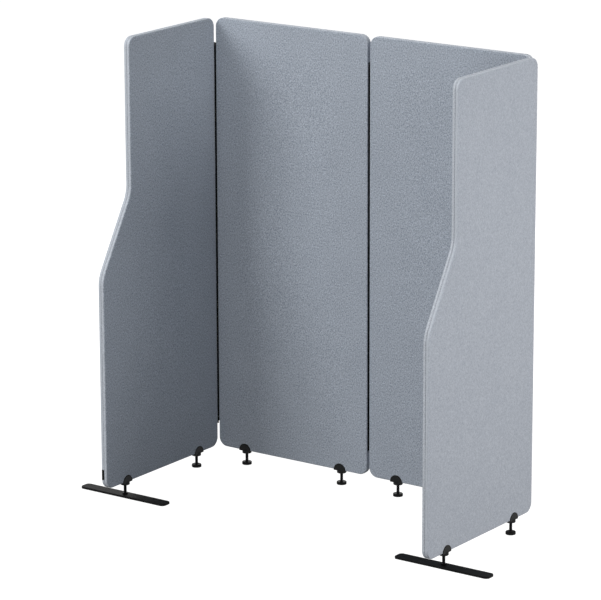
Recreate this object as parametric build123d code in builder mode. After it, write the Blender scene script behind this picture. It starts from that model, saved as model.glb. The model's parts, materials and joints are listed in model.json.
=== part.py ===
from build123d import *
import os

os.makedirs("parts", exist_ok=True)

# A free-standing acoustic booth of four upholstered panels: two in line at the back and one at
# each side, square to them, with a front edge that steps in at chest height. Zips in the panels'
# edges hold them together, and every panel stands on two levelling feet.
# X runs along the back, Y from the open front to the back, Z up. The floor is at Z = 0.
# The left half is modelled, and mirrored about the YZ plane to give the right half.

# Panels
panel_height = 1700
panel_width = 700
panel_thickness = 25
corner_radius = 36
side_head_depth = 525
step_head_height = 1114
step_foot_height = 820
step_radius = 125

# How the panels stand to each other
panel_gap = 10
corner_gap = 3.2

# Padded covers, wrapped round a frame that is filled with fibre
cover_thickness = 3.5
cover_edge_radius = 4
seam_gap = 0.8
rail_width = 40
wrap_ease = 0.3
fill_ease = 0.5

# Zips
zip_lower_inset = 98
zip_upper_inset = 102
tape_thickness = 0.8
tape_sewn_width = 3
tape_straight_exit = 1.2
tape_bend_radius = 1
tape_ease = 0.2
chain_radius = 1.5
retainer_width = 6
retainer_depth = 3.6
retainer_height = 10
retainer_round = 0.3

# Zip slider and its pull
slider_width = 7.6
slider_depth = 6
slider_length = 12
slider_round = 1
slider_slot = 1.6
channel_width = 5.2
channel_depth = 4
bridge_width = 2.4
bridge_length = 3
bridge_gap = 0.3
lug_width = 1.6
lug_reach = 1.6
lug_height = 2.4
pull_width = 3.4
pull_thickness = 0.8
pull_length = 24
pull_round = 1.2
pull_gap = 0.3
pull_eye_width = 2.2
pull_eye_height = 3.4
pull_eye_inset = 1.2

# Foot brackets, a half-moon cheek on each face of the panel and a boss below
foot_inset = 125
cheek_radius = 27
bracket_wall = 2.5
bracket_ease = 0.2
cheek_edge_round = 1.2
boss_radius = 18
boss_height = 12
boss_edge_round = 1.5
screw_offset = 22.4
screw_shank_radius = 1.9
screw_head_radius = 3.5
screw_length = 30
screw_tip_length = 5
screw_ease = 0.1

# Levelling studs and the hexagon nuts that they turn in
stud_radius = 6
stud_reach = 18
stud_chamfer = 1
stud_pocket_radius = 7
stud_pocket_depth = 36
stud_hole_ease = 0.5
nut_width = 18
nut_height = 9
nut_ease = 0.1
thread_ease = 0.06

# Glides under six of the feet
glide_radius = 19
glide_height = 11
glide_top_round = 3
glide_bottom_round = 1.2
glide_socket_depth = 7
glide_ease = 0.05
stud_clear_length = 35

# Flat bars under the two front feet
bar_length = 400
bar_width = 50
bar_thickness = 8
bar_corner_radius = 15
bar_edge_round = 1.5
bolt_head_radius = 10.6
bolt_head_recess = 0.6
bolt_head_ease = 0.5
bolt_hole_ease = 0.05
lock_nut_height = 6

# Bare tab folded round the left side panel's front edge
tab_height = 40
tab_above_edge = 36
tab_thickness = 0.6
tab_ease = 0.1
tab_wrap_angle = 55

# Sizes that follow from these
overrun = 1
half_thickness = panel_thickness / 2
half_gap = panel_gap / 2
core_thickness = panel_thickness - cover_thickness - cover_thickness
panel_bottom = boss_height + stud_clear_length + glide_height
zip_bottom = panel_bottom + zip_lower_inset
zip_top = panel_bottom + panel_height - zip_upper_inset
zip_length = zip_top - zip_bottom
front_reach = corner_gap + panel_width + tab_ease + tab_thickness
bracket_half_depth = half_thickness + bracket_ease + bracket_wall
rear_reach = half_thickness + max(glide_radius, boss_radius, bracket_half_depth)
back_face_y = (front_reach - rear_reach) / 2
corner_x = -half_gap - panel_width

# Each panel's own plane lies in the middle of its thickness, with its corner at the booth's
# corner, its X along the panel and its Y up. The back panel's normal points into the booth.
back_plane = Plane(
    origin=(corner_x, back_face_y + half_thickness, panel_bottom), x_dir=(1, 0, 0), z_dir=(0, -1, 0)
)
side_plane = Plane(
    origin=(corner_x - corner_gap - half_thickness, back_face_y - corner_gap, panel_bottom),
    x_dir=(0, -1, 0),
    z_dir=(-1, 0, 0),
)
into_booth = {"back_left": 1, "left_side": -1}

with BuildSketch() as back_outline:
    # The straight panel, drawn from its corner at the booth's corner
    with BuildLine():
        FilletPolyline(
            (0, 0), (panel_width, 0), (panel_width, panel_height), (0, panel_height),
            radius=corner_radius, close=True,
        )
    make_face()

with BuildSketch() as side_outline:
    # The side panel, whose front edge leans back to a narrower head
    with BuildLine():
        FilletPolyline(
            (0, 0),
            (panel_width, 0),
            (panel_width, step_foot_height),
            (side_head_depth, step_head_height),
            (side_head_depth, panel_height),
            (0, panel_height),
            radius=[corner_radius, corner_radius, step_radius, step_radius, corner_radius, corner_radius],
            close=True,
        )
    make_face()


def foot_planes(plane):
    """Level planes at the panel's lower edge, one over each foot, corner foot first."""
    return [
        Plane(origin=plane.from_local_coords((along, 0, 0)), x_dir=plane.x_dir, z_dir=(0, 0, 1))
        for along in (foot_inset, panel_width - foot_inset)
    ]


def cut_fixings(plane):
    """Pockets for the levelling studs and pilot holes for the bracket screws, from below."""
    upward = (Align.CENTER, Align.CENTER, Align.MIN)
    with Locations(*foot_planes(plane)):
        Cylinder(stud_pocket_radius, stud_pocket_depth, align=upward, mode=Mode.SUBTRACT)
        with GridLocations(screw_offset + screw_offset, screw_offset, 2, 1):
            Cylinder(screw_shank_radius + screw_ease, screw_length, align=upward, mode=Mode.SUBTRACT)


def make_cover(plane, outline, facing):
    """A padded fabric face, a shallow tray from the seam in the panel's edge to its face."""
    seam_plane = plane.offset(facing * seam_gap / 2)
    with BuildPart() as cover:
        with BuildSketch(seam_plane):
            add(outline.sketch)
        extrude(amount=facing * (half_thickness - seam_gap / 2))
        face = cover.faces().sort_by(Axis(plane.origin, plane.z_dir * facing))[-1]
        fillet(face.edges(), cover_edge_radius)
        with BuildSketch(seam_plane):
            add(outline.sketch)
            offset(amount=-cover_thickness, mode=Mode.REPLACE)
        extrude(amount=facing * (core_thickness - seam_gap) / 2, mode=Mode.SUBTRACT)
        cut_fixings(plane)
    return cover.part


def make_frame(plane, outline):
    """The board frame inside a panel, cut in one piece, with its feet's holes in the lower rail."""
    core_plane = plane.offset(-core_thickness / 2)
    with BuildPart() as frame:
        with BuildSketch(core_plane):
            add(outline.sketch)
            offset(amount=-cover_thickness - wrap_ease, mode=Mode.REPLACE)
        extrude(amount=core_thickness)
        with BuildSketch(core_plane):
            add(outline.sketch)
            offset(amount=-cover_thickness - wrap_ease - rail_width, mode=Mode.REPLACE)
        extrude(amount=core_thickness, mode=Mode.SUBTRACT)
        cut_fixings(plane)
    return frame.part


def make_core(plane, outline):
    """The sound-absorbing fibre that fills the frame."""
    with BuildPart() as core:
        with BuildSketch(plane.offset(-core_thickness / 2)):
            add(outline.sketch)
            offset(amount=-cover_thickness - wrap_ease - rail_width - fill_ease, mode=Mode.REPLACE)
        extrude(amount=core_thickness)
    return core.part


def make_bracket(plane, foot):
    """A foot bracket: a half-moon saddle over the panel's lower edge, with a round boss."""
    along = plane.to_local_coords(foot.origin).X
    chord = cheek_radius + cheek_radius
    with BuildPart() as bracket:
        with BuildSketch(plane.offset(-bracket_half_depth)):
            with Locations((along, 0)):
                Circle(cheek_radius)
                Rectangle(chord, cheek_radius, align=(Align.CENTER, Align.MAX), mode=Mode.SUBTRACT)
                Rectangle(chord, bracket_wall, align=(Align.CENTER, Align.MAX))
        extrude(amount=bracket_half_depth + bracket_half_depth)
        cheeks = bracket.faces().filter_by(Axis(plane.origin, plane.z_dir))
        fillet(cheeks.edges(), cheek_edge_round)
        with BuildSketch(foot):
            Circle(boss_radius)
        extrude(amount=-boss_height)
        fillet(bracket.faces().sort_by(Axis.Z)[0].edges(), boss_edge_round)
        with BuildSketch(foot):
            Rectangle(chord + overrun, panel_thickness + bracket_ease + bracket_ease)
        extrude(amount=cheek_radius + overrun, mode=Mode.SUBTRACT)
        with BuildSketch(foot):
            RegularPolygon(nut_width / 2 + nut_ease, 6, major_radius=False)
        extrude(amount=-nut_height - nut_ease, mode=Mode.SUBTRACT)
        with BuildSketch(foot):
            Circle(stud_radius + stud_hole_ease)
        extrude(amount=-boss_height, mode=Mode.SUBTRACT)
        with Locations(foot.offset(-bracket_wall).location * Location((0, 0, 0), (180, 0, 0))):
            with GridLocations(screw_offset + screw_offset, screw_offset, 2, 1):
                CounterSinkHole(
                    screw_shank_radius + screw_ease, screw_head_radius + screw_ease,
                    depth=bracket_wall,
                )
    return bracket.part


def make_brackets(plane):
    """The panel's two foot brackets."""
    pair = [make_bracket(plane, foot) for foot in foot_planes(plane)]
    with BuildPart() as brackets:
        add(pair)
    return brackets.part


def make_bracket_screws(plane):
    """Countersunk wood screws, two up through each bracket into the frame's lower rail."""
    upward = (Align.CENTER, Align.CENTER, Align.MIN)
    head_height = screw_head_radius - screw_shank_radius
    shank_height = screw_length - bracket_wall - screw_tip_length
    with BuildPart() as screws:
        for foot in foot_planes(plane):
            with Locations(foot.offset(-bracket_wall)):
                with GridLocations(screw_offset + screw_offset, screw_offset, 2, 1):
                    Cone(screw_head_radius, screw_shank_radius, head_height, align=upward)
                    Cylinder(screw_shank_radius, bracket_wall + shank_height, align=upward)
                    with Locations((0, 0, bracket_wall + shank_height)):
                        Cone(screw_shank_radius, 0, screw_tip_length, align=upward)
    return screws.part


def make_foot_nuts(plane):
    """The hexagon nuts held in the brackets' bosses."""
    with BuildPart() as nuts:
        for foot in foot_planes(plane):
            with BuildSketch(foot):
                RegularPolygon(nut_width / 2, 6, major_radius=False)
                Circle(stud_radius + thread_ease, mode=Mode.SUBTRACT)
            extrude(amount=-nut_height)
    return nuts.part


def floor_plane(foot):
    """The level plane on the floor, straight below a foot."""
    return Plane(origin=(foot.origin.X, foot.origin.Y, 0), x_dir=foot.x_dir, z_dir=(0, 0, 1))


def make_stud(foot):
    """A levelling stud, moulded into its glide and turned in the bracket's nut."""
    base = glide_height - glide_socket_depth + glide_ease
    with BuildPart() as stud:
        with BuildSketch(floor_plane(foot).offset(base)):
            Circle(stud_radius)
        extrude(amount=panel_bottom + stud_reach - base)
        ends = stud.edges().filter_by(GeomType.CIRCLE)
        chamfer(ends, stud_chamfer)
    return stud.part


def make_glide(foot):
    """The round puck on the floor."""
    ground = floor_plane(foot)
    with BuildPart() as glide:
        with BuildSketch(ground):
            Circle(glide_radius)
        extrude(amount=glide_height)
        rims = glide.edges().filter_by(GeomType.CIRCLE).sort_by(Axis.Z)
        fillet(rims[-1], glide_top_round)
        fillet(glide.edges().filter_by(GeomType.CIRCLE).sort_by(Axis.Z)[0], glide_bottom_round)
        with BuildSketch(ground.offset(glide_height)):
            Circle(stud_radius + glide_ease)
        extrude(amount=-glide_socket_depth, mode=Mode.SUBTRACT)
    return glide.part


def make_bar(foot):
    """The flat bar under a front foot, square to the panel, sunk below for the bolt's head."""
    ground = floor_plane(foot)
    with BuildPart() as bar:
        with BuildSketch(ground):
            RectangleRounded(bar_width, bar_length, bar_corner_radius)
        extrude(amount=bar_thickness)
        fillet(bar.faces().sort_by(Axis.Z)[-1].edges(), bar_edge_round)
        with Locations(ground.location * Location((0, 0, 0), (180, 0, 0))):
            CounterSinkHole(
                stud_radius + bolt_hole_ease,
                bolt_head_radius + bolt_head_recess + bolt_head_ease,
                depth=bar_thickness,
            )
    return bar.part


def make_bar_bolt(foot):
    """The countersunk bolt that carries a front foot: head in the bar, thread in the bracket."""
    head_height = bolt_head_radius - stud_radius
    bolt_top = panel_bottom + stud_reach
    with BuildPart() as bolt:
        with BuildSketch(Plane(floor_plane(foot).origin, x_dir=(1, 0, 0), z_dir=(0, -1, 0))):
            with BuildLine():
                Polyline(
                    (0, bolt_head_recess),
                    (bolt_head_radius, bolt_head_recess),
                    (stud_radius, bolt_head_recess + head_height),
                    (stud_radius, bolt_top - stud_chamfer),
                    (stud_radius - stud_chamfer, bolt_top),
                    (0, bolt_top),
                    close=True,
                )
            make_face()
        revolve(axis=Axis(floor_plane(foot).origin, (0, 0, 1)))
    return bolt.part


def make_lock_nut(foot):
    """The thin nut that clamps the bar on its bolt."""
    with BuildPart() as nut:
        with BuildSketch(floor_plane(foot).offset(bar_thickness)):
            RegularPolygon(nut_width / 2, 6, major_radius=False)
            Circle(stud_radius + thread_ease, mode=Mode.SUBTRACT)
        extrude(amount=lock_nut_height)
    return nut.part


def make_tape(*route):
    """Half a zip's tape: its route in plan from the end that is sewn in to the middle of the chain."""
    *before, last, chain = [Vector(*point) for point in route]
    stop = chain - (chain - last).normalized() * (chain_radius + tape_ease)
    with BuildPart() as tape:
        with BuildSketch(Plane.XY.offset(zip_bottom)):
            with BuildLine():
                if before:
                    FilletPolyline(*before, last, stop, radius=tape_bend_radius)
                else:
                    Line(last, stop)
            trace(line_width=tape_thickness)
        extrude(amount=zip_length)
    return tape.part


def make_chain(chain_plane):
    """The closed chain, with the box at its lower end that keeps the slider on."""
    with BuildPart() as chain:
        with BuildSketch(chain_plane.offset(zip_bottom)):
            Circle(chain_radius)
        extrude(amount=zip_length)
        with BuildSketch(chain_plane.offset(zip_bottom)):
            Rectangle(retainer_width, retainer_depth)
        extrude(amount=-retainer_height)
        fillet(chain.edges().group_by(Axis.Z)[0], retainer_round)
    return chain.part


def make_slider(chain_plane):
    """The slider at the top of a closed zip: two lipped plates on a bridge, and the hanging pull."""
    channel_length = slider_length - bridge_length
    slider_bottom = zip_top + bridge_gap - channel_length
    outside = slider_depth / 2
    with BuildPart() as slider:
        with BuildSketch(chain_plane.offset(slider_bottom)):
            RectangleRounded(slider_width, slider_depth, slider_round)
        extrude(amount=slider_length)
        with BuildSketch(chain_plane.offset(slider_bottom)):
            Rectangle(channel_width, channel_depth)
            Rectangle(slider_width + overrun, slider_slot)
        extrude(amount=channel_length, mode=Mode.SUBTRACT)
        with BuildSketch(chain_plane.offset(slider_bottom + channel_length)):
            Rectangle(slider_width + overrun, channel_depth)
            Rectangle(bridge_width, channel_depth + overrun, mode=Mode.SUBTRACT)
        extrude(amount=bridge_length, mode=Mode.SUBTRACT)
        lug_bottom = slider_bottom + (slider_length - lug_height) / 2
        with BuildSketch(chain_plane.offset(lug_bottom)):
            with Locations((0, outside)):
                Rectangle(lug_width, lug_reach, align=(Align.CENTER, Align.MIN))
        extrude(amount=lug_height)
        eye_middle = lug_bottom + lug_height / 2
        face = Plane(
            origin=chain_plane.from_local_coords((0, outside + pull_gap, eye_middle)),
            x_dir=chain_plane.x_dir, z_dir=chain_plane.y_dir,
        )
        drop = (pull_length - pull_eye_height) / 2 - pull_eye_inset
        with BuildSketch(face):
            with Locations((0, drop)):
                RectangleRounded(pull_width, pull_length, pull_round)
            Rectangle(pull_eye_width, pull_eye_height, mode=Mode.SUBTRACT)
        extrude(amount=pull_thickness)
    return slider.part


def make_tab():
    """The bare tab: from the seam round the outer edge of the left side panel's front."""
    ease = tab_ease + tab_thickness / 2
    front = back_face_y - corner_gap - panel_width - ease
    seam = side_plane.origin.X - seam_gap / 2
    bend_start = side_plane.origin.X - half_thickness + cover_edge_radius
    bend = cover_edge_radius + ease
    with BuildPart() as tab:
        with BuildSketch(Plane.XY.offset(panel_bottom + tab_above_edge)):
            with BuildLine():
                flat = Line((seam, front), (bend_start, front))
                JernArc(flat @ 1, flat % 1, bend, -tab_wrap_angle)
            trace(line_width=tab_thickness)
        extrude(amount=tab_height)
    return tab.part


def mirrored(part):
    """The same piece on the other half of the booth."""
    with BuildPart() as twin:
        mirror(part, about=Plane.YZ)
    return twin.part


def keep(name, part):
    """Names a piece and writes it."""
    part.label = name
    export_step(part, f"parts/{name}.step")


# Pieces of the left half, by name
left_half = {}
for panel, plane, outline in (
    ("back_left", back_plane, back_outline),
    ("left_side", side_plane, side_outline),
):
    inward = into_booth[panel]
    left_half[f"{panel}_frame"] = make_frame(plane, outline)
    left_half[f"{panel}_fibre_core"] = make_core(plane, outline)
    left_half[f"{panel}_inner_cover"] = make_cover(plane, outline, inward)
    left_half[f"{panel}_outer_cover"] = make_cover(plane, outline, -inward)
    left_half[f"{panel}_foot_brackets"] = make_brackets(plane)
    left_half[f"{panel}_bracket_screws"] = make_bracket_screws(plane)
    left_half[f"{panel}_foot_nuts"] = make_foot_nuts(plane)

# Feet: glides under the back panel and at the corner of the side panel, a bar at its front
back_corner_foot, back_middle_foot = foot_planes(back_plane)
side_rear_foot, side_front_foot = foot_planes(side_plane)
for foot_name, foot in (
    ("back_left_corner", back_corner_foot),
    ("back_left_middle", back_middle_foot),
    ("left_side_rear", side_rear_foot),
):
    left_half[f"{foot_name}_stud"] = make_stud(foot)
    left_half[f"{foot_name}_glide"] = make_glide(foot)
left_half["left_side_front_bar"] = make_bar(side_front_foot)
left_half["left_side_front_bolt"] = make_bar_bolt(side_front_foot)
left_half["left_side_front_lock_nut"] = make_lock_nut(side_front_foot)

# The corner zip lies half way between the middles of the two edges that it joins
back_edge = (corner_x, back_plane.origin.Y)
side_edge = (side_plane.origin.X, side_plane.origin.Y)
corner_chain = ((back_edge[0] + side_edge[0]) / 2, (back_edge[1] + side_edge[1]) / 2)
corner_run = Vector(*back_edge) - Vector(*side_edge)
corner_chain_plane = Plane(origin=(*corner_chain, 0), x_dir=corner_run, z_dir=(0, 0, 1))
left_half["left_corner_zip_back_tape"] = make_tape(
    (back_edge[0] + tape_sewn_width, back_edge[1]),
    (back_edge[0] - tape_straight_exit, back_edge[1]),
    corner_chain,
)
left_half["left_corner_zip_side_tape"] = make_tape(
    (side_edge[0], side_edge[1] - tape_sewn_width),
    (side_edge[0], side_edge[1] + tape_straight_exit),
    corner_chain,
)
left_half["left_corner_zip_chain"] = make_chain(corner_chain_plane)
left_half["left_corner_zip_slider"] = make_slider(corner_chain_plane)

# The middle zip lies on the booth's centre line
middle_chain = (0, back_plane.origin.Y)
middle_chain_plane = Plane(origin=(*middle_chain, 0), x_dir=(1, 0, 0), z_dir=(0, 0, 1))
left_half["middle_zip_left_tape"] = make_tape(
    (-half_gap - tape_sewn_width, back_plane.origin.Y), middle_chain
)

for name, part in left_half.items():
    keep(name, part)
    keep(name.replace("left", "right"), mirrored(part))
keep("middle_zip_chain", make_chain(middle_chain_plane))
keep("middle_zip_slider", make_slider(middle_chain_plane))
keep("left_side_edge_tab", make_tab())
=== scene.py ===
# %% [markdown]
# # A zipped acoustic booth
# Four upholstered panels stand on small levelling feet. Zips in their edges join them into a
# booth, two panels at the back and one at each side. The solid parts come from the CAD frame.
# This script dresses them: it builds the padded covers, the seam's stitches, the zips, the
# threads and the little tab, and gives every piece a finish.

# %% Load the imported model
import json
import math

import bmesh
import bpy
import numpy as np
from mathutils import Matrix, Vector
from mathutils.geometry import delaunay_2d_cdt


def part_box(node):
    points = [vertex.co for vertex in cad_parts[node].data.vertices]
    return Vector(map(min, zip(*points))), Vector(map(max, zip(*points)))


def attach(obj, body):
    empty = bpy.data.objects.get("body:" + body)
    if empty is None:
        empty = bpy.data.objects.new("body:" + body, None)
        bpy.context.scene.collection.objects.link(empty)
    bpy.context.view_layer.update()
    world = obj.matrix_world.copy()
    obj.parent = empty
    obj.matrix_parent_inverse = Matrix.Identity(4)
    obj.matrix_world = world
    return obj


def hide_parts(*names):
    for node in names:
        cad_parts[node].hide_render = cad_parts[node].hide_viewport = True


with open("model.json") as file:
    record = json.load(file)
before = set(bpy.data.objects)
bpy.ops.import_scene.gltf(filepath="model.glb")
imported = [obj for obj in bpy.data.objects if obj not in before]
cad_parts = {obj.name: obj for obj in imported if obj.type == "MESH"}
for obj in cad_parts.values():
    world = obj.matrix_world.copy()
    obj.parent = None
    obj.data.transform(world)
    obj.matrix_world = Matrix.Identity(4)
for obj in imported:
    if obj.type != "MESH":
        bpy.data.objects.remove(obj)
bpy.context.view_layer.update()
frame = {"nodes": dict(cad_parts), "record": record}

MM = 0.001

# %% [markdown]
# ## The camera
# A long lens from far away keeps the panels' edges nearly parallel. The place and the angles come
# from a fit to the fourteen straight edges of the panels in the photograph. Blender's camera looks
# along its own -Z, so the fit's right, down and forward directions become the columns of a matrix.

# %% Place the camera
CAMERA_PLACE = (7.0255, -9.9960, 4.0316)
CAMERA_YAW, CAMERA_PITCH, CAMERA_ROLL = -35.381, 14.709, 0.178
LENS_MM, SENSOR_MM = 205.81, 36
NEAREST, FURTHEST = 0.1, 200


def camera_matrix(place, yaw, pitch, roll):
    """The camera's matrix from its place and its angles in degrees, pitch counted downward."""
    yaw, pitch, roll = (math.radians(angle) for angle in (yaw, pitch, roll))
    level = Vector((math.cos(yaw), -math.sin(yaw), 0))
    ahead = Vector((math.sin(yaw), math.cos(yaw), 0))
    forward = ahead * math.cos(pitch) - Vector((0, 0, math.sin(pitch)))
    below = -ahead * math.sin(pitch) - Vector((0, 0, math.cos(pitch)))
    right = level * math.cos(roll) + below * math.sin(roll)
    down = below * math.cos(roll) - level * math.sin(roll)
    turned = Matrix((right, -down, -forward)).transposed()
    return Matrix.Translation(place) @ turned.to_4x4()


lens = bpy.data.cameras.new("camera")
lens.lens, lens.sensor_width = LENS_MM, SENSOR_MM
lens.clip_start, lens.clip_end = NEAREST, FURTHEST
camera = bpy.data.objects.new("camera", lens)
camera.matrix_world = camera_matrix(CAMERA_PLACE, CAMERA_YAW, CAMERA_PITCH, CAMERA_ROLL)
bpy.context.scene.collection.objects.link(camera)
bpy.context.scene.camera = camera

# %% [markdown]
# ## How a mesh becomes a piece
# Every piece is made from lists of corner points and faces. One helper turns them into an object,
# points all faces outward, names its material, and ties it to the CAD body that it moves with.

# %% Turn points and faces into a piece
def make_piece(name, points, faces, material, body, stands_for=()):
    """A closed, smooth mesh that rides on a CAD body and stands for CAD nodes."""
    mesh = bpy.data.meshes.new(name)
    mesh.from_pydata([tuple(p) for p in points], [], faces)
    shape = bmesh.new()
    shape.from_mesh(mesh)
    bmesh.ops.recalc_face_normals(shape, faces=shape.faces)
    shape.to_mesh(mesh)
    shape.free()
    mesh.polygons.foreach_set("use_smooth", [True] * len(mesh.polygons))
    mesh.materials.append(material)
    piece = bpy.data.objects.new(name, mesh)
    bpy.context.scene.collection.objects.link(piece)
    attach(piece, body)
    if stands_for:
        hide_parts(*stands_for)
    return piece


def bridge(first, second, count):
    """Four-sided faces between two closed rings of count points, by their first points' numbers."""
    return [
        (first + i, first + (i + 1) % count, second + (i + 1) % count, second + i)
        for i in range(count)
    ]


def closed_stack(levels, count):
    """The faces of a solid made of levels of rings, count points each, with a face on each end."""
    faces = [f for k in range(levels - 1) for f in bridge(k * count, (k + 1) * count, count)]
    last = (levels - 1) * count
    return faces + [tuple(range(count)), tuple(range(last, last + count))]


# %% [markdown]
# ## Colours and nodes
# Colours are written as they look on a screen, and Blender computes with linear light, so one
# function turns the one into the other. A second small function adds a node with its settings
# and its inputs, so that each material reads from top to bottom like a recipe.

# %% Colour and node helpers
def linear(hex_colour, gain=1.0):
    """A screen (sRGB) colour such as B6BBC4 as linear light, brighter or darker by gain."""
    screen = [int(hex_colour[i:i + 2], 16) / 255 for i in (0, 2, 4)]
    light = [c / 12.92 if c <= 0.04045 else ((c + 0.055) / 1.055) ** 2.4 for c in screen]
    return (*[gain * c for c in light], 1)


def add_node(tree, kind, settings=None, inputs=None):
    """A node with its own settings, and inputs that are values or sockets to link from."""
    made = tree.nodes.new(kind)
    for name, value in (settings or {}).items():
        setattr(made, name, value)
    for name, value in (inputs or {}).items():
        if isinstance(value, bpy.types.NodeSocket):
            tree.links.new(value, made.inputs[name])
        else:
            made.inputs[name].default_value = value
    return made


def start_material(name):
    """An empty material and its tree."""
    material = bpy.data.materials.new(name)
    material.use_nodes = True
    material.node_tree.nodes.clear()
    return material, material.node_tree


def finish_material(tree, surface):
    """Sends a surface shader to the material's output."""
    add_node(tree, "ShaderNodeOutputMaterial", inputs={"Surface": surface.outputs[0]})


# %% [markdown]
# ## The covers' cloth: a wool-blend melange
# Melange cloth is woven from yarn whose fibres were dyed in several greys before they were spun.
# From a step away it reads as one blue-grey with fine lighter and darker flecks, a little longer
# up the cloth than across. The real yarn is about 0.7 mm thick, which is too fine to show at one
# pixel to 3.5 mm, so the flecks are drawn about 4 mm wide, and the weave's relief at 1.5 mm. Wool
# has no gloss: it is rough, with a soft sheen where it turns away from the eye. Inside the booth
# the light comes from the side, and the yarn's relief makes the flecks look twice as strong as on
# the outer faces. That relief is finer than a pixel, so the inner covers' flecks are drawn
# stronger. Where a cover is pulled round the panel's edge, the edge catches more light than the
# face, and a painted highlight makes it paler. The slots between zipped panels lie in shade and
# get none. The covers' meshes say where the highlight is painted, as a number from 0 to 1 at
# each point, and the cloth reads it.

# %% Melange cloth
OUTER_CLOTH, INNER_CLOTH = ("BBC3CD", "949CA9"), ("D2DAE4", "7A828F")
# Edge colour and share: a painted highlight on the covers' open edges, which catch more light.
EDGE_HIGHLIGHT_COLOUR, EDGE_HIGHLIGHT_SHARE = "E9EEF4", 0.4
FLECK_MM, FLECK_STRETCH, FLECK_RANGE = 4.0, 0.7, (0.36, 0.74)
THREAD_MM, WEAVE_TONE, CLOUDS_PER_M, CLOUD_TONE = 1.5, 0.14, 9, 0.10
RELIEF_MM, FLECK_RELIEF = 0.25, 16


def make_cloth(name, light, dark):
    """Melange cloth: flecks in two colours, a plain weave, and a painted highlight on open edges.
    """
    material, tree = start_material(name)
    place = add_node(tree, "ShaderNodeTexCoord").outputs["Object"]
    stretched = add_node(
        tree, "ShaderNodeMapping", inputs={"Vector": place, "Scale": (1, 1, FLECK_STRETCH)}
    ).outputs[0]
    flecks = add_node(
        tree, "ShaderNodeTexNoise", {"normalize": True},
        {"Vector": stretched, "Scale": 1 / (FLECK_MM * MM), "Detail": 4, "Roughness": 0.7},
    ).outputs[0]
    cloudy = add_node(
        tree, "ShaderNodeTexNoise", inputs={"Vector": place, "Scale": CLOUDS_PER_M, "Detail": 2}
    ).outputs[0]
    contrast = add_node(
        tree, "ShaderNodeMapRange", {"clamp": True},
        {"Value": flecks, "From Min": FLECK_RANGE[0], "From Max": FLECK_RANGE[1]},
    ).outputs[0]
    patchy = add_node(
        tree, "ShaderNodeMath", {"operation": "MULTIPLY_ADD"},
        {0: cloudy, 1: CLOUD_TONE, 2: contrast},
    ).outputs[0]
    parts = add_node(tree, "ShaderNodeSeparateXYZ", inputs={0: place}).outputs
    across = add_node(
        tree, "ShaderNodeMath", {"operation": "ADD"}, {0: parts[0], 1: parts[1]}
    ).outputs[0]
    threads = []
    for along in (across, parts[2]):
        phase = add_node(
            tree, "ShaderNodeMath", {"operation": "MULTIPLY"},
            {0: along, 1: math.pi / (THREAD_MM * MM)},
        ).outputs[0]
        ridge = add_node(tree, "ShaderNodeMath", {"operation": "SINE"}, {0: phase})
        threads.append(ridge.outputs[0])
    weave = add_node(
        tree, "ShaderNodeMath", {"operation": "MULTIPLY"}, {0: threads[0], 1: threads[1]}
    ).outputs[0]
    tone = add_node(
        tree, "ShaderNodeMath", {"operation": "MULTIPLY_ADD"}, {0: weave, 1: WEAVE_TONE, 2: patchy}
    ).outputs[0]
    melange = add_node(
        tree, "ShaderNodeMix", {"data_type": "RGBA"}, {0: tone, 6: linear(dark), 7: linear(light)}
    ).outputs[2]
    # Painted highlight: the open edges are mixed towards a paler colour, as they catch more light.
    highlit_edge = add_node(tree, "ShaderNodeAttribute", {"attribute_name": "painted_edge_light"}).outputs["Fac"]
    highlight_mix = add_node(
        tree, "ShaderNodeMath", {"operation": "MULTIPLY"}, {0: highlit_edge, 1: EDGE_HIGHLIGHT_SHARE}
    ).outputs[0]
    colour = add_node(
        tree, "ShaderNodeMix", {"data_type": "RGBA"},
        {0: highlight_mix, 6: melange, 7: linear(EDGE_HIGHLIGHT_COLOUR)},
    ).outputs[2]
    relief = add_node(
        tree, "ShaderNodeMath", {"operation": "MULTIPLY_ADD"},
        {0: flecks, 1: FLECK_RELIEF, 2: weave},
    ).outputs[0]
    bump = add_node(
        tree, "ShaderNodeBump",
        inputs={"Height": relief, "Strength": 0.4, "Distance": RELIEF_MM * MM},
    ).outputs[0]
    surface = add_node(
        tree, "ShaderNodeBsdfPrincipled",
        inputs={
            "Base Color": colour, "Roughness": 0.92, "Sheen Weight": 0.12, "Sheen Roughness": 0.45,
            "Specular IOR Level": 0.15, "Normal": bump,
        },
    )
    finish_material(tree, surface)
    return material


cloths = {
    "outer": make_cloth("melange_wool_blend_outer", *OUTER_CLOTH),
    "inner": make_cloth("melange_wool_blend_inner", *INNER_CLOTH),
}
seam_thread = make_cloth("spun_polyester_thread", "A9AFBA", "858B96")

# %% [markdown]
# ## Blacks
# All hardware is black, but no two blacks are alike. Moulded polyamide has a fine leathery grain
# from its mould. Powder coat is baked plastic dust and keeps a soft orange-peel. Black oxide is
# steel under a thin dark film, so it still shines like metal. Woven tape swallows light between
# its ribs, and zip coil is smooth drawn nylon.

# %% Moulded, coated and drawn finishes
HANDLED_PER_M, HANDLED_SPREAD, HANDLED_TONES = 28, 0.08, (0.85, 1.2)


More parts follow.
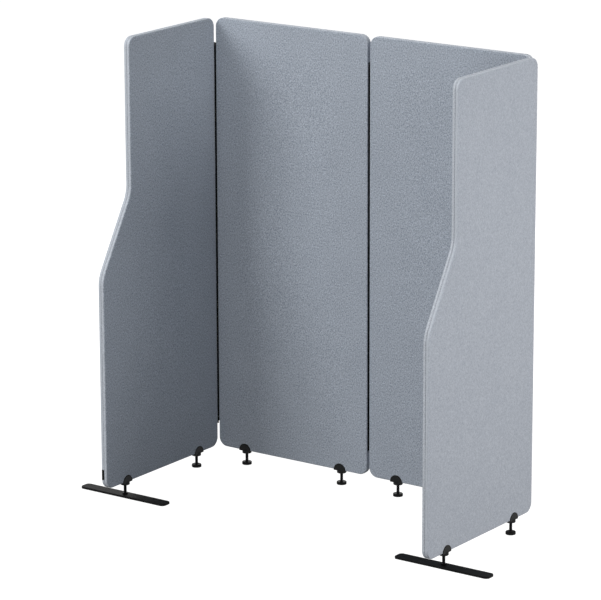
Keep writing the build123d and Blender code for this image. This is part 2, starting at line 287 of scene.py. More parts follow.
def make_grained(name, colour, grain_mm, depth_mm, roughness, metallic=0.0, gloss=0.5, coat=0.0):
    """A hard finish with a grain of a real size, and a roughness that wanders a little."""
    material, tree = start_material(name)
    place = add_node(tree, "ShaderNodeTexCoord").outputs["Object"]
    grain = add_node(
        tree, "ShaderNodeTexNoise",
        inputs={"Vector": place, "Scale": 1 / (grain_mm * MM), "Detail": 2},
    ).outputs[0]
    handled = add_node(
        tree, "ShaderNodeTexNoise", inputs={"Vector": place, "Scale": HANDLED_PER_M, "Detail": 3}
    ).outputs[0]
    tint = add_node(
        tree, "ShaderNodeMix", {"data_type": "RGBA"},
        {0: handled, 6: linear(colour, HANDLED_TONES[0]), 7: linear(colour, HANDLED_TONES[1])},
    ).outputs[2]
    rough = add_node(
        tree, "ShaderNodeMapRange",
        inputs={
            "Value": handled, "To Min": roughness - HANDLED_SPREAD,
            "To Max": roughness + HANDLED_SPREAD,
        },
    ).outputs[0]
    bump = add_node(
        tree, "ShaderNodeBump",
        inputs={"Height": grain, "Strength": 0.5, "Distance": depth_mm * MM},
    ).outputs[0]
    settings = {
        "Base Color": tint, "Roughness": rough, "Metallic": metallic, "Normal": bump,
        "Specular IOR Level": gloss, "Coat Weight": coat,
    }
    finish_material(tree, add_node(tree, "ShaderNodeBsdfPrincipled", inputs=settings))
    return material


WAVE_BANDS = 3.18  # Blender's wave texture has this many bands in a metre at scale 1
# The ribs' tones paint shade in the grooves between the ribs and light on their crests.
RIB_SHADE_TONES, YARN_SHARE = (0.7, 1.4), 0.5


def make_ribbed(name, colour, rib_mm, depth_mm):
    """A woven tape: raised ribs one above the other up the tape, crossed by fine yarn."""
    material, tree = start_material(name)
    place = add_node(tree, "ShaderNodeTexCoord").outputs["Object"]
    ribs = add_node(
        tree, "ShaderNodeTexWave", {"bands_direction": "Z"},
        {
            "Vector": place, "Scale": 1 / (WAVE_BANDS * rib_mm * MM), "Distortion": 0.4,
            "Detail": 1,
        },
    ).outputs[1]
    yarn = add_node(
        tree, "ShaderNodeTexNoise",
        inputs={"Vector": place, "Scale": 1 / (rib_mm * MM), "Detail": 2},
    ).outputs[0]
    height = add_node(
        tree, "ShaderNodeMath", {"operation": "MULTIPLY_ADD"}, {0: yarn, 1: YARN_SHARE, 2: ribs}
    ).outputs[0]
    bump = add_node(
        tree, "ShaderNodeBump",
        inputs={"Height": height, "Strength": 0.8, "Distance": depth_mm * MM},
    ).outputs[0]
    # Painted shade and light: darker in the grooves, lighter on the ribs' crests.
    tint = add_node(
        tree, "ShaderNodeMix", {"data_type": "RGBA"},
        {0: ribs, 6: linear(colour, RIB_SHADE_TONES[0]), 7: linear(colour, RIB_SHADE_TONES[1])},
    ).outputs[2]
    settings = {"Base Color": tint, "Roughness": 0.9, "Specular IOR Level": 0.1, "Normal": bump}
    finish_material(tree, add_node(tree, "ShaderNodeBsdfPrincipled", inputs=settings))
    return material


polyamide = make_grained("moulded_polyamide", "0E0F10", 0.5, 0.05, 0.5, gloss=0.14)
glide_plastic = make_grained("moulded_glide_polyamide", "0A0B0B", 0.6, 0.04, 0.55, gloss=0.08)
powder_coat = make_grained("black_powder_coat", "0C0D0D", 1.4, 0.05, 0.55, gloss=0.08)
black_oxide = make_grained("black_oxide_steel", "171718", 0.8, 0.01, 0.4, metallic=1.0)
zinc_plate = make_grained("zinc_plated_steel", "B4B7BC", 1.0, 0.01, 0.35, metallic=1.0)
enamel = make_grained("black_enamel", "131415", 2.0, 0.01, 0.35, gloss=0.3, coat=0.1)
nylon = make_grained("drawn_nylon_coil", "0E0F10", 0.8, 0.02, 0.45, gloss=0.15)
tape_weave = make_ribbed("woven_polyester_tape", "0E0F10", 0.9, 0.12)
tab_weave = make_ribbed("woven_ribbon", "101112", 0.7, 0.1)

# %% [markdown]
# ## The inside: board and fibre
# The frame inside each panel is raw fibreboard cut by a router, and the filling is pressed fibre.
# Neither shows from outside, but both are real pieces, so both get their finish.

# %% Fibreboard and pressed fibre
fibreboard = make_grained("raw_fibreboard", "A98A63", 1.2, 0.08, 0.8)
pressed_fibre = make_grained("pressed_polyester_fibre", "B7B7B2", 2.5, 0.6, 0.9)

NODE_FINISHES = {
    "_frame": fibreboard, "_fibre_core": pressed_fibre, "_foot_brackets": polyamide,
    "_bracket_screws": zinc_plate, "_foot_nuts": zinc_plate, "_glide": glide_plastic,
    "_bar": powder_coat, "_lock_nut": black_oxide, "_slider": enamel,
}
dressed = 0
for node_name, node_object in frame["nodes"].items():
    for ending, material in NODE_FINISHES.items():
        if node_name.endswith(ending):
            node_object.data.materials.clear()
            node_object.data.materials.append(material)
            dressed += 1
print("CAD nodes that keep their shape and get a finish:", dressed)

# %% [markdown]
# ## A panel's own measures
# Each panel is drawn flat, with u along it from the booth's corner, v up it and w out of the middle
# of its thickness. The back panels are plain rectangles. The side panels lean back at the front
# between 820 and 1114 mm, to a narrower head. All these sizes repeat the CAD model's.

# %% Outlines of the panels
PANEL_WIDTH, PANEL_HEIGHT, HALF_THICKNESS = 0.700, 1.700, 0.0125
CORNER_RADIUS, STEP_RADIUS = 0.036, 0.125
HEAD_DEPTH, STEP_HEAD, STEP_FOOT = 0.525, 1.114, 0.820
STATION_STEP, DEGREES_A_STEP = 4.5 * MM, 2
BACK_CORNERS = [(0, 0), (PANEL_WIDTH, 0), (PANEL_WIDTH, PANEL_HEIGHT), (0, PANEL_HEIGHT)]
BACK_RADII = [CORNER_RADIUS] * 4
SIDE_CORNERS = [
    (0, 0), (PANEL_WIDTH, 0), (PANEL_WIDTH, STEP_FOOT), (HEAD_DEPTH, STEP_HEAD),
    (HEAD_DEPTH, PANEL_HEIGHT), (0, PANEL_HEIGHT),
]
SIDE_RADII = [CORNER_RADIUS] * 2 + [STEP_RADIUS] * 2 + [CORNER_RADIUS] * 2


def unit(v):
    """A vector's direction."""
    return v / np.linalg.norm(v)


def round_corner(before, corner, after, radius):
    """Points every few degrees round one rounded corner of a polygon."""
    back, on = unit(before - corner), unit(after - corner)
    half = math.acos(np.clip(back @ on, -1, 1)) / 2
    centre = corner + unit(back + on) * radius / math.sin(half)
    start = corner + back * radius / math.tan(half) - centre
    end = corner + on * radius / math.tan(half) - centre
    first = math.atan2(start[1], start[0])
    turn = (math.atan2(end[1], end[0]) - first + math.pi) % (2 * math.pi) - math.pi
    steps = max(2, round(abs(math.degrees(turn)) / DEGREES_A_STEP))
    angles = first + turn * np.arange(steps + 1) / steps
    return centre + radius * np.stack([np.cos(angles), np.sin(angles)], 1)


def outline_stations(corners, radii, step):
    """Even stations round a rounded outline: their places and the directions inward."""
    corners = np.array(corners, float)
    around = [
        round_corner(corners[i - 1], corners[i], corners[(i + 1) % len(corners)], radii[i])
        for i in range(len(corners))
    ]
    path = np.concatenate([*around, around[0][:1]])
    run = np.concatenate([[0], np.cumsum(np.linalg.norm(np.diff(path, axis=0), axis=1))])
    count = round(run[-1] / step)
    at = np.arange(count) * run[-1] / count
    places = np.stack([np.interp(at, run, path[:, k]) for k in (0, 1)], 1)
    heading = np.roll(places, -1, axis=0) - np.roll(places, 1, axis=0)
    heading /= np.linalg.norm(heading, axis=1)[:, None]
    return places, np.stack([-heading[:, 1], heading[:, 0]], 1)


SHAPES = {"back": (BACK_CORNERS, BACK_RADII), "side": (SIDE_CORNERS, SIDE_RADII)}
OUTLINES = {shape: outline_stations(*SHAPES[shape], STATION_STEP) for shape in SHAPES}
print("stations round an outline:", {k: len(v[0]) for k, v in OUTLINES.items()})

# %% [markdown]
# ## Where the panels stand
# Each panel's corner, its direction along the floor and the direction into the booth are read from
# the CAD covers' boxes, so the covers made here sit where the CAD says.

# %% Panels in the booth
class Panel:
    """A panel's place: flat coordinates (u, v, w) become a point in the booth."""

    def __init__(self, name, shape, corner, along, into):
        self.name, self.shape, self.corner = name, shape, Vector(corner)
        self.along, self.into = Vector(along), Vector(into)
        self.body = f"{name}_panel"

    def point(self, u, v, w):
        """Where a flat point lies in the booth."""
        return self.corner + self.along * u + self.into * w + Vector((0, 0, v))


def read_panels():
    """The four panels, placed by their covers' boxes."""
    panels = {}
    for name, along, into in (
        ("back_left", (1, 0, 0), (0, -1, 0)), ("back_right", (-1, 0, 0), (0, -1, 0)),
        ("left_side", (0, -1, 0), (1, 0, 0)), ("right_side", (0, -1, 0), (-1, 0, 0)),
    ):
        lows, highs = zip(*(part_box(f"{name}_{face}_cover") for face in ("inner", "outer")))
        low = [min(c) for c in zip(*lows)]
        high = [max(c) for c in zip(*highs)]
        corner = [
            low[k] if along[k] > 0 else high[k] if along[k] < 0 else (low[k] + high[k]) / 2
            for k in (0, 1)
        ]
        shape = "back" if name.startswith("back") else "side"
        panels[name] = Panel(name, shape, (*corner, low[2]), along, into)
    return panels


PANELS = read_panels()
BOTTOM = PANELS["back_left"].corner.z
for panel in PANELS.values():
    print(panel.name, "starts at", [round(c, 4) for c in panel.corner])

# %% [markdown]
# ## The padded covers
# A cover is cloth laid over a few millimetres of wadding and pulled round the board. It is a closed
# tray: from the seam in the middle of the panel's edge it rolls round a soft 4 mm edge on to the
# face, which swells by half a millimetre where nothing holds it down. The tray is built as rings
# that follow the outline, from the seam to the face, and the face inside the last ring is filled
# with small triangles, so that it can swell and wander as cloth does.

# %% Rings of a cover and its swollen face
EDGE_ROUND = 4 * MM
BOARD_INSET, BOARD_HALF = 3.5 * MM, 9 * MM
SEAM_HALF = 0.4 * MM
SEAM_ROLL = [(1.8, 0.4), (0.9, 0.6), (0.35, 1.15), (0.08, 2.0), (0, 3.2), (0, 5.5)]
FACE_EASE = [(9, 12.54), (17, 12.58), (29, 12.6)]
FACE_START, FACE_REACH, FACE_SWELL, FACE_WANDER = 29 * MM, 0.16, 0.5 * MM, 0.22 * MM
WAVE_ALONG, WAVE_UP, WAVE_PHASE = (9.1, 2.3), (-3.1, 5.3), 1.7
GRID_STEP, BACK_STEP, ROW_SHARE, RING_CLEAR_SHARE = 22 * MM, 66 * MM, 0.866, 0.6
INSIDE_ONLY, SAME_WITHIN = 1, 1e-7


def cover_profile():
    """The tray's rings as inset from the outline and height above the panel's middle."""
    rings = [(BOARD_INSET, SEAM_HALF)] + [(a * MM, b * MM) for a, b in SEAM_ROLL]
    for angle in np.radians(range(0, 91, 15)):
        rings.append((
            EDGE_ROUND * (1 - math.cos(angle)),
            HALF_THICKNESS - EDGE_ROUND * (1 - math.sin(angle)),
        ))
    return rings + [(a * MM, b * MM) for a, b in FACE_EASE]


def inside_points(places, inset, step):
    """Staggered points inside an outline, with their distance from it."""
    low, high = places.min(0), places.max(0)
    rows = []
    for k, v in enumerate(np.arange(low[1] + step, high[1], step * ROW_SHARE)):
        u = np.arange(low[0] + (k % 2) * step / 2, high[0], step)
        rows.append(np.stack([u, np.full(len(u), v)], 1))
    points = np.concatenate(rows)
    ends = np.roll(places, -1, axis=0)
    crossings = np.zeros(len(points), int)
    nearest = np.full(len(points), np.inf)
    for a, b in zip(places, ends):
        nearest = np.minimum(nearest, np.hypot(*(points - a).T))
        spans = (a[1] > points[:, 1]) != (b[1] > points[:, 1])
        if spans.any():
            where = a[0] + (points[:, 1] - a[1]) * (b[0] - a[0]) / (b[1] - a[1])
            crossings += spans & (points[:, 0] < where)
    keep = (crossings % 2 == 1) & (nearest > inset + step * RING_CLEAR_SHARE)
    return points[keep], nearest[keep]


def fill_faces(ring, points, ring_first, points_first):
    """Triangles over the ring and the points inside it, numbered for the whole mesh."""
    count = len(ring)
    flat = [Vector(p) for p in (*ring, *points)]
    edges = [(i, (i + 1) % count) for i in range(count)]
    _, _, triangles, origins, *_ = delaunay_2d_cdt(flat, edges, [], INSIDE_ONLY, SAME_WITHIN)
    number = [o[0] + ring_first if o[0] < count else o[0] - count + points_first for o in origins]
    return [tuple(number[i] for i in triangle) for triangle in triangles]


def swell(distance, u, v, phase):
    """How far the face stands up where nothing holds it, with slow waves of the cloth."""
    share = np.clip((distance - FACE_START) / (FACE_REACH - FACE_START), 0, 1)
    share = share * share * (3 - 2 * share)
    along = np.sin(WAVE_ALONG[0] * u + WAVE_ALONG[1] * v + phase)
    up = np.sin(WAVE_UP[0] * u + WAVE_UP[1] * v + WAVE_PHASE * phase)
    return share * (FACE_SWELL + FACE_WANDER * (along * up))


def painted_edge_light(shape, total):
    """Painted highlight: 1 on a cover's open edges, easing to 0 where the roll meets the face."""
    u = OUTLINES[shape][0][:, 0]
    zipped = (u < MM) | ((shape == "back") & (u > PANEL_WIDTH - MM))
    height = np.array([w for _, w in cover_profile()])
    share = np.clip((HALF_THICKNESS - height) / EDGE_ROUND, 0, 1)
    # No painted highlight on zipped edges, whose slots lie in shade.
    highlight_share = np.outer(share, ~zipped).ravel()
    return np.concatenate([highlight_share, np.zeros(total - len(highlight_share))])


def cover_mesh(places, inward, phase):
    """Points (u, v, w) and faces of one cover, w counted from the panel's middle outward."""
    rings = cover_profile()
    count = len(places)
    points = [
        np.column_stack([places + inward * inset, np.full(count, w)]) for inset, w in rings
    ]
    faces = [f for k in range(len(rings) - 1) for f in bridge(k * count, (k + 1) * count, count)]
    top_ring = places + inward * rings[-1][0]
    inner, distance = inside_points(places, FACE_START, GRID_STEP)
    height = rings[-1][1] + swell(distance, inner[:, 0], inner[:, 1], phase)
    total = len(rings) * count
    points.append(np.column_stack([inner, height]))
    faces += fill_faces(top_ring, inner, total - count, total)
    total += len(inner)
    board_ring = places + inward * BOARD_INSET
    points.append(np.column_stack([board_ring, np.full(count, BOARD_HALF)]))
    faces += bridge(0, total, count)
    back, _ = inside_points(places, BOARD_INSET, BACK_STEP)
    points.append(np.column_stack([back, np.full(len(back), BOARD_HALF)]))
    faces += fill_faces(board_ring, back, total, total + count)
    return np.concatenate(points), faces


# %% [markdown]
# ## Making the eight covers
# Two covers make a panel. They are mirror images across its middle, but each has its own slow
# waves, because no two pieces of cloth are pulled alike.

# %% Eight covers
PHASE_STEP = 1.3
for number, panel in enumerate(PANELS.values()):
    places, inward = OUTLINES[panel.shape]
    for side, sign in (("inner", 1), ("outer", -1)):
        flat, faces = cover_mesh(places, inward, PHASE_STEP * number + sign)
        points = [panel.point(u, v, sign * w) for u, v, w in flat]
        cover = make_piece(
            f"{panel.name}_{side}_upholstery", points, faces, cloths[side], panel.body,
            [f"{panel.name}_{side}_cover"],
        )
        # The painted edge highlight rides on the cover's points.
        highlight_share = cover.data.attributes.new("painted_edge_light", "FLOAT", "POINT")
        highlight_share.data.foreach_set("value", painted_edge_light(panel.shape, len(points)))
        print(cover.name, "faces:", len(faces))

# %% [markdown]
# ## The seam's stitches
# The two covers of a panel are sewn together along the middle of its edge. The photograph shows the
# seam as a fine line with a dotted beat of about 9 mm. Each stitch here is a short bent thread
# that crosses the seam at a slant. None is made where a zip's tape, the little tab or a foot
# bracket sits in the seam.

# %% Stitches round every panel
STITCH_MM, THREAD_RADIUS = 9.0, 0.42 * MM
STITCH_ARC = [(-1.7, 0.7), (-1.0, 0.0), (0.0, -0.2), (1.0, 0.0), (1.7, 0.7)]
STITCH_SLANT, STITCH_SIDES = 0.9 * MM, 6
ZIP_LOW, ZIP_HIGH, ZIP_CLEAR = 0.098, 1.598, 0.020
TAB_LOW, TAB_HIGH, TAB_CLEAR = 0.036, 0.076, 0.005
FOOT_INSET, FOOT_CLEAR = 0.125, 0.030


def tube(path, across, radius, sides):
    """A round tube with flat ends along a path, across being one direction square to each step."""
    path, across = np.array(path, float), np.array(across, float)
    heading = np.gradient(path, axis=0)
    heading /= np.linalg.norm(heading, axis=1)[:, None]
    second = np.cross(heading, across)
    second /= np.linalg.norm(second, axis=1)[:, None]
    first = np.cross(second, heading)
    angles = 2 * math.pi * np.arange(sides) / sides
    cos, sin = np.cos(angles)[None, :, None], np.sin(angles)[None, :, None]
    ring = cos * first[:, None, :] + sin * second[:, None, :]
    points = (path[:, None, :] + radius * ring).reshape(-1, 3)
    return points, closed_stack(len(path), sides)


def join_shapes(shapes):
    """Several meshes' points and faces as one."""
    points, faces, first = [], [], 0
    for more, more_faces in shapes:
        points.append(more)
        faces += [tuple(i + first for i in face) for face in more_faces]
        first += len(more)
    return np.concatenate(points), faces


def seam_is_free(panel, u, v):
    """Whether nothing but the stitches sits in the seam here."""
    far_edge = u > PANEL_WIDTH - MM
    zipped = u < MM or (panel.shape == "back" and far_edge)
    if zipped and ZIP_LOW - ZIP_CLEAR < v < ZIP_HIGH + ZIP_CLEAR:
        return False
    tabbed = panel.name == "left_side" and far_edge
    if tabbed and TAB_LOW - TAB_CLEAR < v < TAB_HIGH + TAB_CLEAR:
        return False
    near_foot = min(abs(u - FOOT_INSET), abs(u - PANEL_WIDTH + FOOT_INSET)) < FOOT_CLEAR
    return not (near_foot and v < MM)


def stitch(panel, place, inward):
    """One bent thread across the seam."""
    along = Vector((-inward[1], inward[0])) * STITCH_SLANT
    path = []
    for w, inset in STITCH_ARC:
        u, v = Vector(place) + Vector(inward) * inset * MM + along * w
        path.append(panel.point(u, v, w * MM))
    outward = panel.point(*(Vector(place) - Vector(inward)), 0) - panel.point(*place, 0)
    return tube(path, [outward] * len(path), THREAD_RADIUS, STITCH_SIDES)


for panel in PANELS.values():
    stations = zip(*outline_stations(*SHAPES[panel.shape], STITCH_MM * MM))
    stitches = [stitch(panel, p, n) for p, n in stations if seam_is_free(panel, *p)]
    points, faces = join_shapes(stitches)
    make_piece(f"{panel.name}_seam_stitches", points, faces, seam_thread, panel.body)
    print(panel.name, "stitches:", len(stitches))

# %% [markdown]
# ## Zips
# Each half of a zip is a woven tape with a nylon coil sewn along one edge. The two coils hook into
# each other and look like one spring. At its foot a small moulded box joins the halves. The coil is
# drawn with 2 mm between its turns, coarser than the real 1.3 mm, so that it can be seen. A tape is
# wider than the part that crosses to the coil: the rest is folded back and sewn flat on the panel's
# edge, which is why the gap between two panels shows black almost as far as their faces.

# %% Tapes
TAPE_HALF, TAPE_LAP, TAPE_EXIT, TAPE_END = 0.35 * MM, 3 * MM, 1.2 * MM, 0.9 * MM
BEAD_HALF, BEAD_PLACE, BEAD_WIDTH = 0.6 * MM, 1.6 * MM, 0.7 * MM
TAPE_STEPS, TAPE_LEVELS, WING_LEVELS = 15, 76, 31
WING_HALF, WING_BEVEL, WING_EASE, WING_THICKNESS = 7.5 * MM, 0.3 * MM, 0.05 * MM, 0.35 * MM


def tape_mesh(route, low, high):
    """A tape between two heights: its route in plan, thicker by a sewn bead next to the coil."""
    route = np.array(route, float)
    run = np.concatenate([[0], np.cumsum(np.linalg.norm(np.diff(route, axis=0), axis=1))])
    at = np.linspace(0, run[-1], TAPE_STEPS)
    plan = np.stack([np.interp(at, run, route[:, k]) for k in (0, 1)], 1)
    plan[1:-1] = (plan[:-2] + 2 * plan[1:-1] + plan[2:]) / 4
    heading = np.gradient(plan, axis=0)
    heading /= np.linalg.norm(heading, axis=1)[:, None]
    side = np.stack([-heading[:, 1], heading[:, 0]], 1)
    bead = np.exp(-((run[-1] - at - BEAD_PLACE) / BEAD_WIDTH) ** 2)
    half = TAPE_HALF + (BEAD_HALF - TAPE_HALF) * bead
    ring = np.concatenate([plan + side * half[:, None], (plan - side * half[:, None])[::-1]])
    rows = np.linspace(low, high, TAPE_LEVELS)
    points = np.concatenate([np.column_stack([ring, np.full(len(ring), z)]) for z in rows])
    return points, closed_stack(TAPE_LEVELS, len(ring))


def wing_mesh(panel, edge_u, out):
    """The tape's wings: its folded hem, sewn flat on the panel's edge on both sides of the seam."""
    proud, flat = WING_EASE + WING_THICKNESS, WING_HALF - WING_BEVEL
    section = [(WING_EASE, -WING_HALF), (proud, -flat), (proud, flat), (WING_EASE, WING_HALF)]
    points = [
        panel.point(edge_u + out * d, v, w)
        for v in np.linspace(ZIP_LOW, ZIP_HIGH, WING_LEVELS) for d, w in section
    ]
    return points, closed_stack(WING_LEVELS, len(section))


def make_tape(name, panel, edge_u, chain):
    """The tape in a panel's edge at u, out to the chain's place in plan."""
    out = -1 if edge_u == 0 else 1
    sewn, edge = (panel.point(edge_u + out * d, 0, 0) for d in (-TAPE_LAP, TAPE_EXIT))
    end = Vector(chain) - (Vector(chain) - edge.xy).normalized() * TAPE_END
    strip = tape_mesh([sewn.xy, edge.xy, end], BOTTOM + ZIP_LOW, BOTTOM + ZIP_HIGH)
    points, faces = join_shapes([strip, wing_mesh(panel, edge_u, out)])
    make_piece(f"{name}_woven", points, faces, tape_weave, panel.body, [name])


# %% Coils with their boxes
CHAIN_RADIUS, COIL_PITCH, WIRE_RADIUS, COIL_FLAT = 1.5 * MM, 2 * MM, 0.32 * MM, 0.85
COIL_STEPS, WIRE_SIDES, CORD_SIDES, CORD_LEVELS = 9, 5, 10, 16
BOX_WIDTH, BOX_DEPTH, BOX_HEIGHT = 6 * MM, 3.6 * MM, 10 * MM
BOX_SIDES, BOX_SQUARENESS = 20, 0.35
BOX_LEVELS = [
    (0, 0.82), (0.06, 0.97), (0.14, 1), (0.4, 0.93), (0.6, 0.93), (0.86, 1), (0.94, 0.97), (1, 0.8),
]


def coil_mesh(chain, across, low, high):
    """A closed coil round its sewing cord, with the box at its foot."""
    turns = (high - low) / COIL_PITCH
    steps = round(turns * COIL_STEPS)
    angle = 2 * math.pi * turns * np.arange(steps + 1) / steps
    out = np.array(across)
    other = np.array((-out[1], out[0]))
    radius = CHAIN_RADIUS - WIRE_RADIUS
    spread = np.cos(angle)[:, None] * out * radius
    spread = spread + np.sin(angle)[:, None] * other * radius * COIL_FLAT
    height = np.linspace(low + WIRE_RADIUS, high - WIRE_RADIUS, steps + 1)
    path = np.column_stack([np.array(chain) + spread, height])
    radial = np.column_stack([spread, np.zeros(steps + 1)])
    cord = [(*chain, z) for z in np.linspace(low, high, CORD_LEVELS)]
    return join_shapes([
        tube(path, radial, WIRE_RADIUS, WIRE_SIDES),
        tube(cord, [(*out, 0)] * CORD_LEVELS, CHAIN_RADIUS - 2 * WIRE_RADIUS, CORD_SIDES),
        box_mesh(chain, out, other, low),
    ])


def squared(t):
    """A sine or cosine pushed towards 1 or -1, which turns a circle into a rounded square."""
    return math.copysign(abs(t) ** BOX_SQUARENESS, t)


def box_mesh(chain, out, other, top):
    """The moulded box that holds a zip's halves at the foot, with a waist for the fingers."""
    points = []
    for share, size in BOX_LEVELS:
        for k in range(BOX_SIDES):
            angle = 2 * math.pi * k / BOX_SIDES
            width = squared(math.cos(angle)) * BOX_WIDTH / 2 * size
            depth = squared(math.sin(angle)) * BOX_DEPTH / 2 * size
            place = np.array(chain) + out * width + other * depth
            points.append((*place, top - BOX_HEIGHT + BOX_HEIGHT * share))
    return np.array(points), closed_stack(len(BOX_LEVELS), BOX_SIDES)


def make_coil(name, body, chain, across):
    """A zip's coil and box, at the chain's place in plan, across being the way to one panel."""
    points, faces = coil_mesh(chain, across, BOTTOM + ZIP_LOW, BOTTOM + ZIP_HIGH)
    make_piece(f"{name}_coil", points, faces, nylon, body, [name])


# %% Three zips
for side in ("left", "right"):
    back_panel, side_panel = PANELS[f"back_{side}"], PANELS[f"{side}_side"]
    chain = (back_panel.corner.xy + side_panel.corner.xy) / 2
    across = (back_panel.corner.xy - side_panel.corner.xy).normalized()
    make_tape(f"{side}_corner_zip_back_tape", back_panel, 0, chain)
    make_tape(f"{side}_corner_zip_side_tape", side_panel, 0, chain)
    make_coil(f"{side}_corner_zip_chain", back_panel.body, chain, across)
middle = Vector((0, PANELS["back_left"].corner.y))
make_tape("middle_zip_left_tape", PANELS["back_left"], PANEL_WIDTH, middle)
make_tape("middle_zip_right_tape", PANELS["back_right"], PANEL_WIDTH, middle)
make_coil("middle_zip_chain", PANELS["back_left"].body, middle, (1, 0))
print("zips: 3, each", round((ZIP_HIGH - ZIP_LOW) / MM), "mm long")

# %% [markdown]
# ## The bare tab
# A short black ribbon is sewn into the seam low on the left side panel's front edge and folds on to
# its outer side. It is woven, with a firm selvedge at its top and bottom, and it carries nothing.

# %% Ribbon folded round the edge
RIBBON_HALF, RIBBON_EASE, RIBBON_LEVELS = 0.3 * MM, 0.1 * MM, 21
SELVEDGE_HALF, SELVEDGE_LOW, SELVEDGE_HIGH = 0.42 * MM, 0.8 * MM, 2.6 * MM
FLAT_WIDTHS, BEND_DEGREES = (0.4, 2, 4, 6, 8), range(5, 56, 10)


def ribbon_plan():
    """The ribbon's middle in u and w: flat across the edge, then round on to the outer face."""
    ease = RIBBON_EASE + RIBBON_HALF
    flat = [(PANEL_WIDTH + ease, -w * MM) for w in FLAT_WIDTHS]
    radius, u, w = EDGE_ROUND + ease, PANEL_WIDTH - EDGE_ROUND, HALF_THICKNESS - EDGE_ROUND
    bend = [
        (u + radius * math.cos(angle), -w - radius * math.sin(angle))
        for angle in map(math.radians, BEND_DEGREES)
    ]
    return np.array(flat + bend)


def make_ribbon(name, panel):
    """The woven ribbon between its two heights, thicker along its two selvedges."""
    plan = ribbon_plan()
    heading = np.gradient(plan, axis=0)
    heading /= np.linalg.norm(heading, axis=1)[:, None]
    side = np.stack([-heading[:, 1], heading[:, 0]], 1)
    points = []
    for v in np.linspace(TAB_LOW, TAB_HIGH, RIBBON_LEVELS):
        from_end = min(v - TAB_LOW, TAB_HIGH - v)
        half = SELVEDGE_HALF if SELVEDGE_LOW < from_end < SELVEDGE_HIGH else RIBBON_HALF
        ring = np.concatenate([plan + side * half, (plan - side * half)[::-1]])
        points += [panel.point(u, v, w) for u, w in ring]
    faces = closed_stack(RIBBON_LEVELS, 2 * len(plan))
    make_piece(f"{name}_ribbon", points, faces, tab_weave, panel.body, [name])
    print(name, "ribbon faces:", len(faces))


make_ribbon("left_side_edge_tab", PANELS["left_side"])

# %% [markdown]
# ## Threaded studs
# The feet turn on M12 studs. A thread is a ridge that climbs 1.75 mm in a turn. It is made as a
# stack of rings whose radius rises and falls with both height and angle: where height minus the
# turn's share is a whole number of pitches, the ring is on the ridge.

# %% Threads
STUD_RADIUS, PITCH, THREAD_DEPTH = 6 * MM, 1.75 * MM, 0.95 * MM
THREAD_SIDES, RINGS_PER_PITCH = 32, 6
FLANK_SLOPE, CREST_SHARE, END_BEVEL = 1.25, 0.1, 1 * MM


def threaded_mesh(centre, low, high, plain_to, head=()):
    """A threaded rod between two heights, plain below plain_to, on a head given as (z, radius)."""
    count = round((high - low) / PITCH * RINGS_PER_PITCH)
    heights = np.linspace(low, high, count + 1)
    angles = 2 * math.pi * np.arange(THREAD_SIDES) / THREAD_SIDES
    rings = [np.full(THREAD_SIDES, r) for _, r in head]
    for z in heights:
        ridge = np.abs(2 * ((z / PITCH - angles / (2 * math.pi)) % 1) - 1)
        cut = THREAD_DEPTH * np.clip(FLANK_SLOPE * ridge - CREST_SHARE, 0, 1)
        cut = cut * np.clip((z - plain_to) / PITCH, 0, 1)
        end = np.clip(1 - (high - z) / END_BEVEL, 0, 1) * END_BEVEL
        rings.append(np.minimum(STUD_RADIUS - cut, STUD_RADIUS - end))
    levels = [z for z, _ in head] + list(heights)
    cos, sin = np.cos(angles), np.sin(angles)
    points = [
        np.column_stack([centre[0] + r * cos, centre[1] + r * sin, np.full(THREAD_SIDES, z)])
        for z, r in zip(levels, rings)
    ]
    return np.concatenate(points), closed_stack(len(levels), THREAD_SIDES)


# %% Studs on the glides and bolts in the bars
GLIDE_TOP, BAR_TOP = 11 * MM, 8 * MM
BOLT_HEAD = [(0.6 * MM, 10.6 * MM), (5.2 * MM, STUD_RADIUS)]
SHANK_LOW = BOLT_HEAD[-1][0] + 0.3 * MM
threaded = 0
for body, members in frame["record"]["behaviour"]["bodies"].items():
    for node_name in members:
        if not node_name.endswith(("_stud", "_bolt")):
            continue
        low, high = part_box(node_name)
        centre = (low.xy + high.xy) / 2
        if node_name.endswith("_stud"):
            points, faces = threaded_mesh(centre, low.z, high.z, GLIDE_TOP)
        else:
            points, faces = threaded_mesh(centre, SHANK_LOW, high.z, BAR_TOP, BOLT_HEAD)
        name = f"{node_name}_threaded"
        make_piece(name, points, faces, black_oxide, body, [node_name])
        threaded += 1
print("studs and bolts with a thread:", threaded)

# %% [markdown]
# ## Floor and world
# The photograph is a cut-out on white. The floor shows white to the camera and to the reflections
# in the black pieces: it glows a little less than white round the booth, where the lamps add the
# rest and the booth takes it away as a faint shadow, and fully white further out. To all other
# light it is grey paper, so that the booth isn't lit from below.

# %% White floor that keeps a shadow
GLOW_NEAR, GLOW_FAR = 0.94, 1.0
NEAR_REACH, FAR_REACH, FLOOR_REACH = 1.3, 3.0, 60
PAPER_LIT, PAPER_BOUNCE, WORLD_LEVEL = "8C8C8C", "6A6A6A", 0.16


def seen_directly(tree):
    """1 for rays from the camera, from a reflection or through glass, and 0 for all other light."""
    path = add_node(tree, "ShaderNodeLightPath").outputs
    glossy = add_node(
        tree, "ShaderNodeMath", {"operation": "MAXIMUM"},
        {0: path["Is Camera Ray"], 1: path["Is Glossy Ray"]},
    ).outputs[0]
    return add_node(
        tree, "ShaderNodeMath", {"operation": "MAXIMUM"},
        {0: glossy, 1: path["Is Transmission Ray"]},
    ).outputs[0]


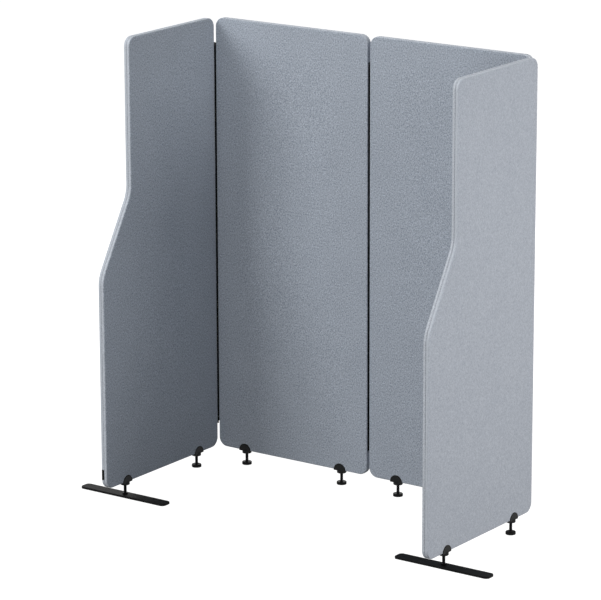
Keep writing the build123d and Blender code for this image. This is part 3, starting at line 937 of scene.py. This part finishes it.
def make_floor_material():
    """White but for the object's shadow where it is seen, and grey to light that bounces."""
    material, tree = start_material("seamless_paper")
    place = add_node(tree, "ShaderNodeTexCoord").outputs["Object"]
    far = add_node(
        tree, "ShaderNodeVectorMath", {"operation": "LENGTH"}, {0: place}
    ).outputs["Value"]
    glow = add_node(
        tree, "ShaderNodeMapRange", {"interpolation_type": "SMOOTHSTEP"},
        {
            "Value": far, "From Min": NEAR_REACH, "From Max": FAR_REACH,
            "To Min": GLOW_NEAR, "To Max": GLOW_FAR,
        },
    ).outputs[0]
    lit = add_node(tree, "ShaderNodeBsdfDiffuse", inputs={"Color": linear(PAPER_LIT)})
    glowing = add_node(tree, "ShaderNodeEmission", inputs={"Strength": glow})
    paper = add_node(tree, "ShaderNodeAddShader", inputs={0: lit.outputs[0], 1: glowing.outputs[0]})
    bounce = add_node(tree, "ShaderNodeBsdfDiffuse", inputs={"Color": linear(PAPER_BOUNCE)})
    mixed = add_node(
        tree, "ShaderNodeMixShader",
        inputs={0: seen_directly(tree), 1: bounce.outputs[0], 2: paper.outputs[0]},
    )
    finish_material(tree, mixed)
    return material


def make_world(level):
    """An even pale sky, white where the camera or a reflection sees it."""
    world = bpy.data.worlds.new("studio")
    world.use_nodes = True
    tree = world.node_tree
    tree.nodes.clear()
    white = (1, 1, 1, 1)
    dim = add_node(tree, "ShaderNodeBackground", inputs={"Color": white, "Strength": level})
    bright = add_node(tree, "ShaderNodeBackground", inputs={"Color": white, "Strength": 1.0})
    mixed = add_node(
        tree, "ShaderNodeMixShader",
        inputs={0: seen_directly(tree), 1: dim.outputs[0], 2: bright.outputs[0]},
    )
    add_node(tree, "ShaderNodeOutputWorld", inputs={"Surface": mixed.outputs[0]})
    return world


floor_mesh = bpy.data.meshes.new("studio_floor")
corners = [(x * FLOOR_REACH, y * FLOOR_REACH, 0) for x, y in ((-1, -1), (1, -1), (1, 1), (-1, 1))]
floor_mesh.from_pydata(corners, [], [(0, 1, 2, 3)])
floor_mesh.materials.append(make_floor_material())
floor = bpy.data.objects.new("studio_floor", floor_mesh)
bpy.context.scene.collection.objects.link(floor)
bpy.context.scene.world = make_world(WORLD_LEVEL)
print("floor and sky made, the sky at level", WORLD_LEVEL)

# %% [markdown]
# ## Lamps
# In the photograph the right panel's outer face is the lightest, the back panels are darkest next
# to both corners, every panel fades towards the floor and every top edge is light. Three soft lamps
# in front light the back panels. The left panel shades one corner from the lamp at the left, and
# the right panel shades the other from the lamp at the right, which stands low. Two at the right
# light the outer face, the lower one a little warm. The higher one also looks over that panel's top
# on to the upper half of the left panel. One overhead lights the top edges, and one behind lights
# the backs. The powers come from a fit: the scene was rendered with one lamp at a time, and the sum
# was sought that comes closest to the greys of the photograph.

# %% Soft lamps
LAMPS = {
    "front_left_softbox": ((-3.2, -5.0, 4.2), (0, 0, 1.0), 2.6, 214, "FFFFFF"),
    "front_softbox": ((0.0, -6.0, 3.5), (0, 0, 1.0), 2.6, 48, "FFFFFF"),
    "front_right_softbox": ((3.0, -6.0, 1.5), (0, 0, 1.0), 2.0, 73, "FFFFFF"),
    "high_right_softbox": ((5.4, -0.2, 3.3), (0, 0, 1.4), 1.6, 76, "FFFFFF"),
    "low_right_softbox": ((4.5, 0.8, 1.0), (0.7, 0, 0.9), 1.6, 90, "FFF8F2"),
    "overhead_softbox": ((0.0, -0.3, 4.4), (0, -0.3, 0), 2.4, 28, "FFFFFF"),
    "back_softbox": ((-2.5, 5.0, 3.2), (0, 0, 1.0), 2.6, 120, "FFFFFF"),
}


def add_lamp(name, place, target, size, power, colour):
    """A square soft lamp, its place, target and size in metres and its power in watts."""
    data = bpy.data.lights.new(name, "AREA")
    data.energy, data.size = power, size
    data.color = linear(colour)[:3]
    lamp = bpy.data.objects.new(name, data)
    lamp.location = place
    lamp.rotation_euler = (Vector(target) - Vector(place)).to_track_quat("-Z", "Y").to_euler()
    bpy.context.scene.collection.objects.link(lamp)


for name, settings in LAMPS.items():
    add_lamp(name, *settings)
bpy.context.scene.view_settings.view_transform = "Standard"
print("lamps:", len(LAMPS))
